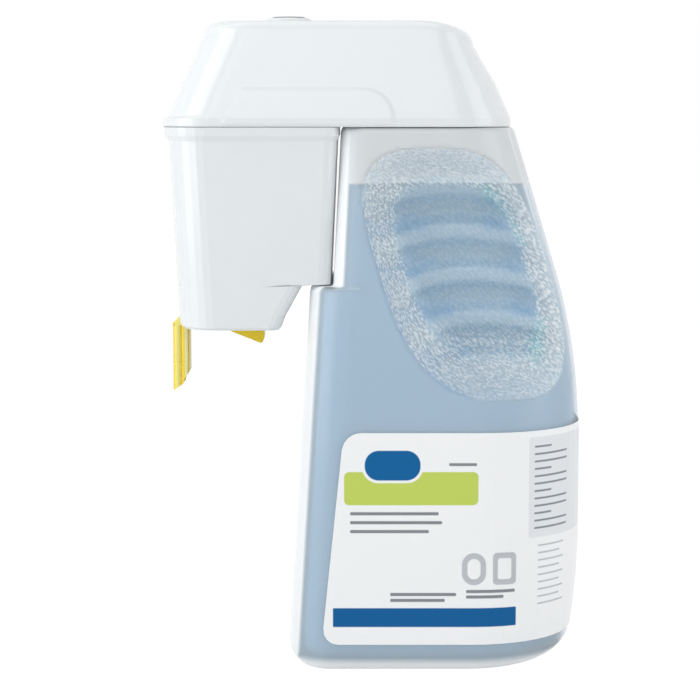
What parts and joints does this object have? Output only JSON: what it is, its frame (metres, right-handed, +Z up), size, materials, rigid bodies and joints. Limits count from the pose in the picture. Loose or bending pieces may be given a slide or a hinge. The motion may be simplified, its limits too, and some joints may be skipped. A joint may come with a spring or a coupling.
{
  "type": "dish detergent refill bottle",
  "caption": "Large translucent detergent bottle with a pinch grip and a white dosing head: hood, front housing, water-driven eductor, spout and sprung latch bolt.",
  "frame": {"origin": "on the floor, below the middle of the whole outline", "axes": "+X from the dosing head towards the grip, +Y across the bottle, +Z up"},
  "size_m": [0.2005, 0.119, 0.3058],
  "materials": {
    "bottle_wall": "milky translucent blow-moulded plastic",
    "detergent": "clear blue liquid",
    "label_film": "printed film label",
    "white_shell": "glossy white moulding",
    "white_inner": "natural white moulding",
    "yellow_plastic": "glossy yellow moulding",
    "clear_tube": "natural polyethylene tube",
    "seal_rubber": "matt dark rubber",
    "spring_steel": "bright spring wire"
  },
  "bodies": {
    "bottle_and_head": {"bottle": "bottle_wall", "detergent": "detergent", "label": "label_film", "neck_gasket": "seal_rubber", "neck_insert": "white_inner", "neck_collar": "white_inner", "vent_valve": "seal_rubber", "metering_tip": "yellow_plastic", "dip_tube": "clear_tube", "foot_strainer": "white_inner", "chassis_plate": "white_inner", "front_housing": "white_shell", "hood": "white_shell", "inlet_port": "white_shell", "inlet_face_seal": "seal_rubber", "inlet_screen": "spring_steel", "jet_nozzle": "yellow_plastic", "eductor_body": "white_inner", "check_valve": "seal_rubber", "suction_hose": "clear_tube", "delivery_tube": "clear_tube", "outlet_seal": "seal_rubber", "discharge_spout": "yellow_plastic", "latch_spring": "spring_steel", "spring_cap": "white_inner"},
    "latch": {"latch_bolt": "yellow_plastic"}
  },
  "joints": [
    {"name": "latch_slide", "type": "slide", "parent": "bottle_and_head", "child": "latch", "axis": [0, 0, 1], "range_m": [0, 0.0065], "stiffness_N_per_m": 400, "springref_m": -0.0075, "deforming": ["latch_spring"]}
  ]
}
